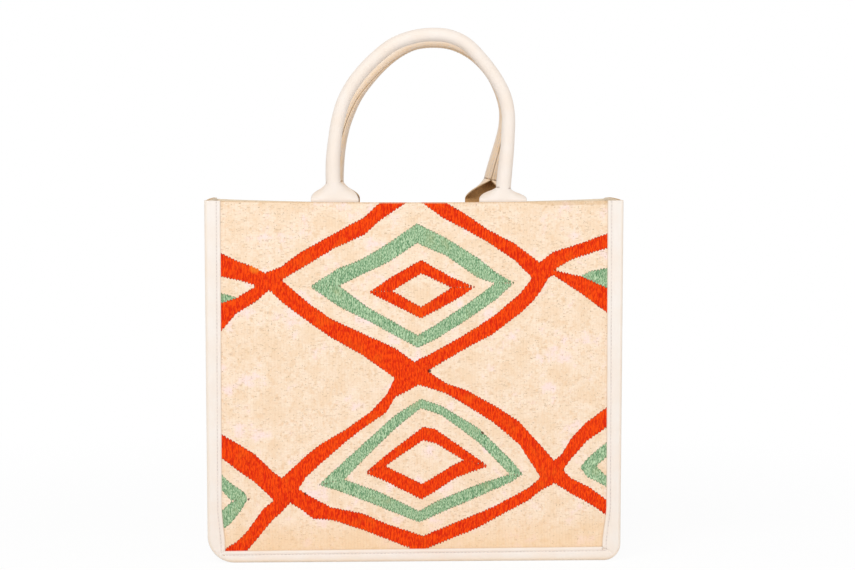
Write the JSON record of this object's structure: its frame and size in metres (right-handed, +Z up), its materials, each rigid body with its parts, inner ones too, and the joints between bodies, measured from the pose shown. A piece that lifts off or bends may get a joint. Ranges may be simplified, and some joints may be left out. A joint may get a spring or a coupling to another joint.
{
  "type": "kilim shoulder bag",
  "caption": "Boxy flat-woven bag with a lozenge pattern, pale leather edge binding and gusset, an open lined mouth and two rolled leather handles.",
  "frame": {"origin": "centre of the bag's bounding box in x and y, at the bottom edge it stands on", "axes": "+Z up towards the handles, -Y out of the front face, +X to the right as seen from the front"},
  "size_m": [0.4, 0.13, 0.5112],
  "materials": {
    "kilim": "flat-woven wool, cream ground with red-orange and sage green bands",
    "binding_leather": "smooth natural leather, stitched near its inner edge",
    "gusset_leather": "smooth natural leather",
    "facing_leather": "matt leather, flesh side tan",
    "lining_cotton": "plain cotton",
    "board_fibre": "pressed fibreboard",
    "handle_leather": "smooth natural leather, rolled and stitched, tan flesh side",
    "core_cord": "twisted cotton cord"
  },
  "bodies": {
    "root": {"front_panel": "kilim", "back_panel": "kilim", "front_binding": "binding_leather", "back_binding": "binding_leather", "gusset": "gusset_leather", "mouth_facing": "facing_leather", "lining": "lining_cotton", "base_board": "board_fibre", "front_handle": "handle_leather", "rear_handle": "handle_leather", "front_handle_core": "core_cord", "rear_handle_core": "core_cord"}
  },
  "joints": []
}
